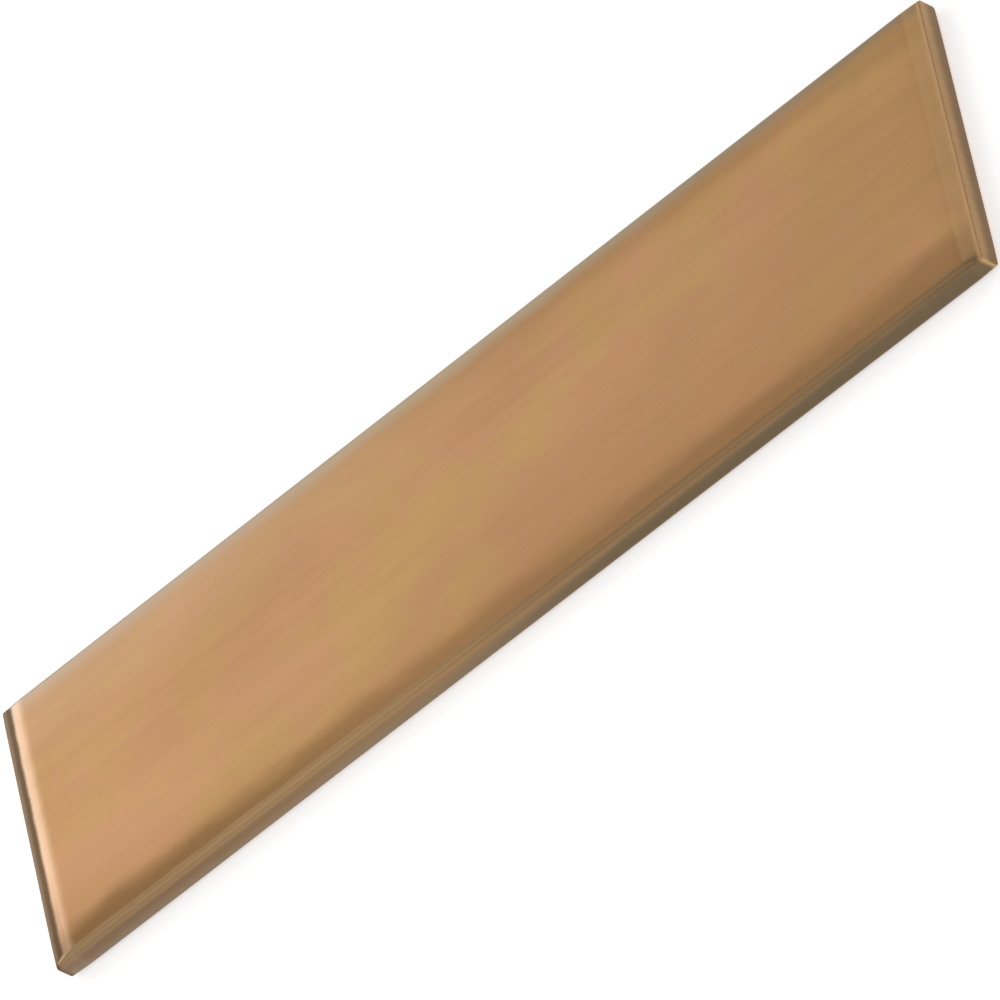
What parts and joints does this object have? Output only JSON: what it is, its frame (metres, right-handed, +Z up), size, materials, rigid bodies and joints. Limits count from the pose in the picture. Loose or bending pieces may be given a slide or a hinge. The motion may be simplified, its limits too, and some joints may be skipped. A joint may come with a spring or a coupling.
{
  "type": "copper busbar",
  "caption": "Plain flat bar of solid copper with rounded long edges and sawn, bevelled ends, for carrying current between terminals.",
  "frame": {"origin": "middle of the bar's underside, half way along its length", "axes": "+X along the length, +Y across the width, +Z up through the thickness, from the face that the bar lies on to the face that the picture shows"},
  "size_m": [0.2, 0.05, 0.005],
  "materials": {
    "copper": "satin drawn copper, lightly tarnished"
  },
  "bodies": {
    "root": {"busbar": "copper"}
  },
  "joints": []
}
